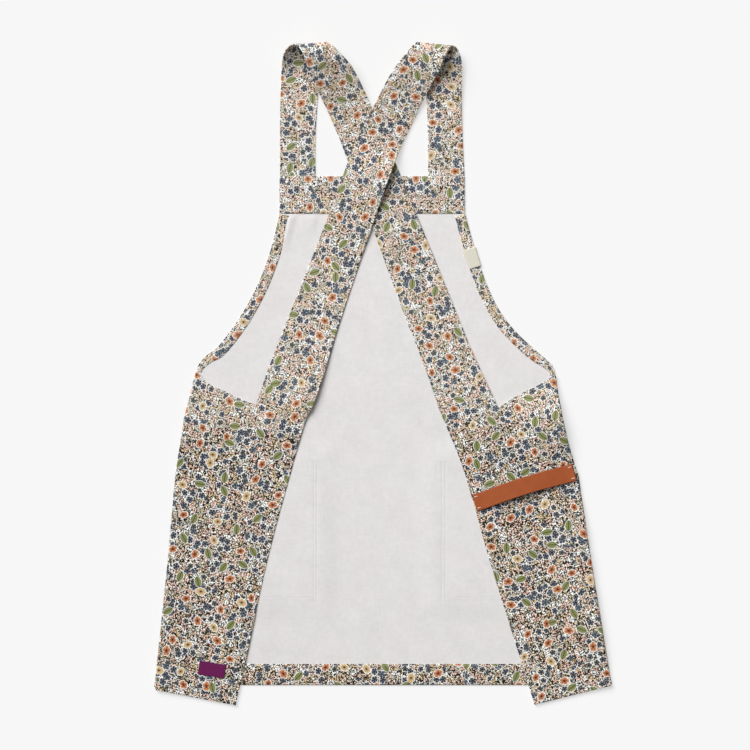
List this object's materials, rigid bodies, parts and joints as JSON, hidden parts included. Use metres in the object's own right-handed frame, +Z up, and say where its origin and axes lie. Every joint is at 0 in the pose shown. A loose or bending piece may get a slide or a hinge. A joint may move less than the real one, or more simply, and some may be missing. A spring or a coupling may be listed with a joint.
{
  "type": "cross-back smock apron",
  "caption": "Cross-back smock apron laid face down: wide straps cross over its back and widen into folded side wings, with patch pockets beneath and a leather towel loop.",
  "frame": {"origin": "middle of the laid apron's outline, on the surface that it lies on", "axes": "+Z up, away from the surface; +Y from the hem to the shoulders; +X to the right as seen from above, towards the wing with the towel loop"},
  "size_m": [0.6683, 0.9692, 0.0285],
  "materials": {
    "pale_cloth": "matt, the unprinted inside of the cloth",
    "print_cloth": "matt, small all-over floral print",
    "leather": "smooth tan leather, satin",
    "label": "purple woven ribbon, satin",
    "tab": "cream twill tape, matt"
  },
  "bodies": {
    "root": {"front_panel": "pale_cloth", "chest_facing": "print_cloth", "front_hem": "print_cloth", "armhole_facing_left": "print_cloth", "armhole_facing_right": "print_cloth", "pocket_left": "print_cloth", "pocket_right": "print_cloth", "wing_left": "print_cloth", "wing_right": "print_cloth", "strap_left": "print_cloth", "strap_right": "print_cloth", "towel_loop": "leather", "wing_label": "label", "edge_tab": "tab"}
  },
  "joints": []
}
